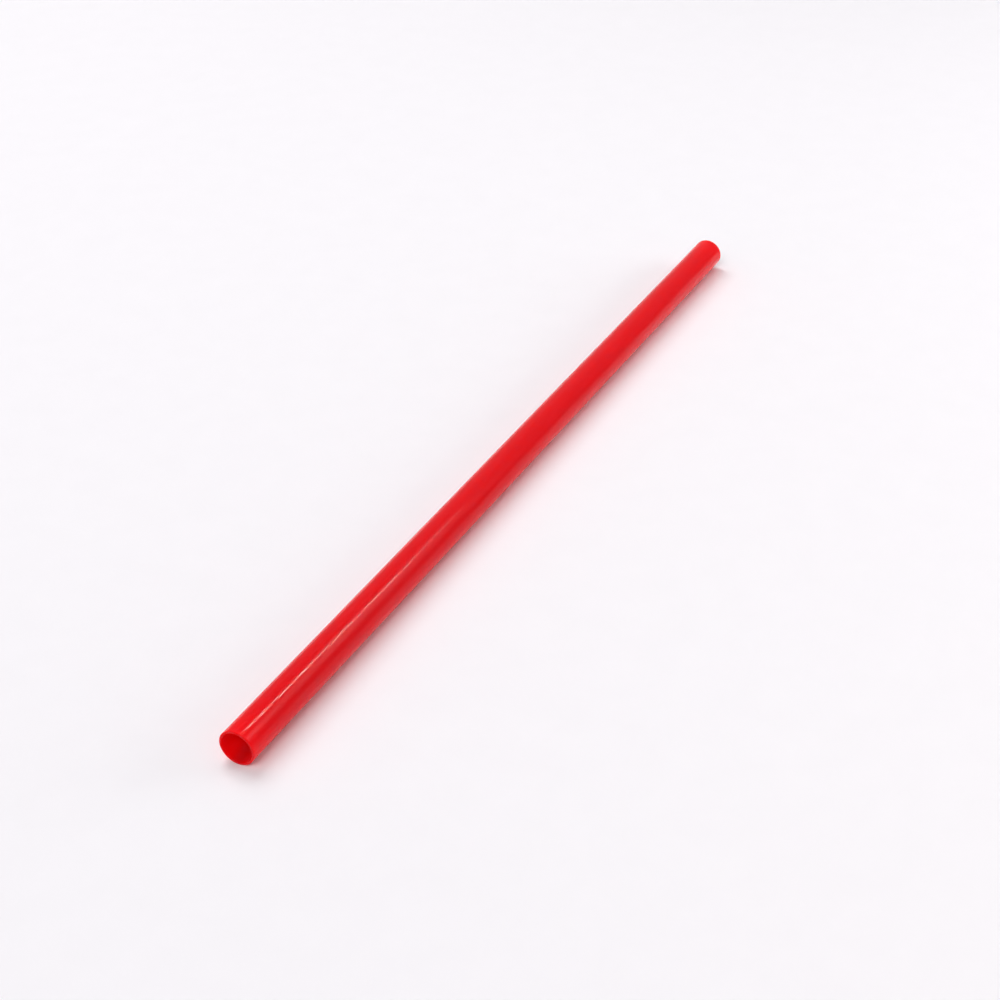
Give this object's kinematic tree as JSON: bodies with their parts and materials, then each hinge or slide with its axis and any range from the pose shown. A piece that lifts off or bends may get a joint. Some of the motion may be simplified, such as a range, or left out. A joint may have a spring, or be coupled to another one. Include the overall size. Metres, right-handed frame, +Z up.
{
  "type": "drinking straw",
  "caption": "Straight round plastic drinking straw: a thin-walled tube, open at both ends, with square-cut ends and rounded rims, for sipping a drink.",
  "frame": {"origin": "on the surface that the straw lies on, straight below the middle of its length and of its width", "axes": "+X along the tube from one open end to the other, +Y across it, +Z up from the surface that it lies on"},
  "size_m": [0.24, 0.008, 0.008],
  "materials": {
    "red_polypropylene": "gloss"
  },
  "bodies": {
    "root": {"straw": "red_polypropylene"}
  },
  "joints": []
}
